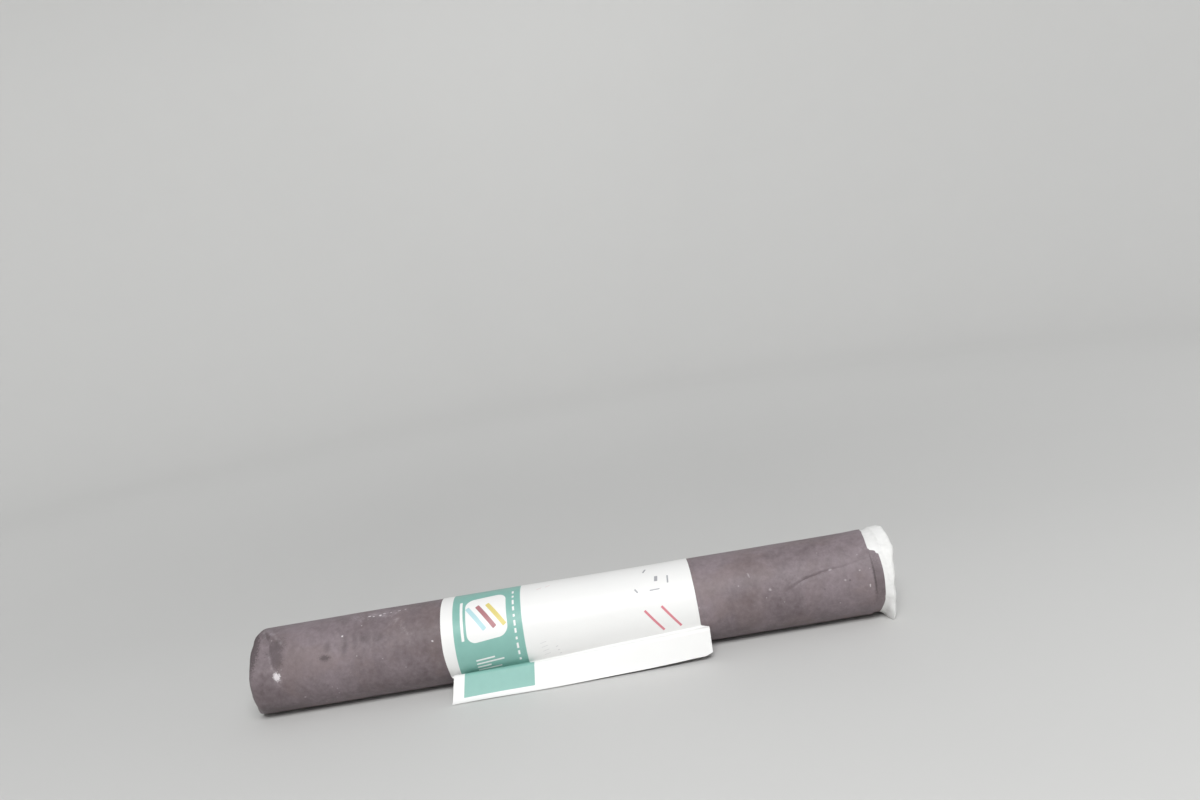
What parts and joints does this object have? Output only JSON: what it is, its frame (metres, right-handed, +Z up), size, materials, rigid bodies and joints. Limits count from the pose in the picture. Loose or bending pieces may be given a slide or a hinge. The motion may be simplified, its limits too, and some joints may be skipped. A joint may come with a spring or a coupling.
{
  "type": "roll of roofing felt",
  "caption": "Coreless roll of dark saturated roofing felt lying on its side, with white end wraps and one wide paper label loose along its lower edge.",
  "frame": {"origin": "on the bore's axis, half way along the felt; the floor is one roll radius, 67 mm, below it", "axes": "+X along the roll, towards the end with the puffed wrap; +Z up; -Y is the front, where the label's loose edge lies on the floor"},
  "size_m": [1.0332, 0.171, 0.1345],
  "materials": {
    "felt": "matte",
    "wrap": "matte",
    "label": "satin"
  },
  "bodies": {
    "root": {"felt_roll": "felt", "end_wrap_right": "wrap", "end_wrap_left": "wrap", "label": "label"}
  },
  "joints": []
}
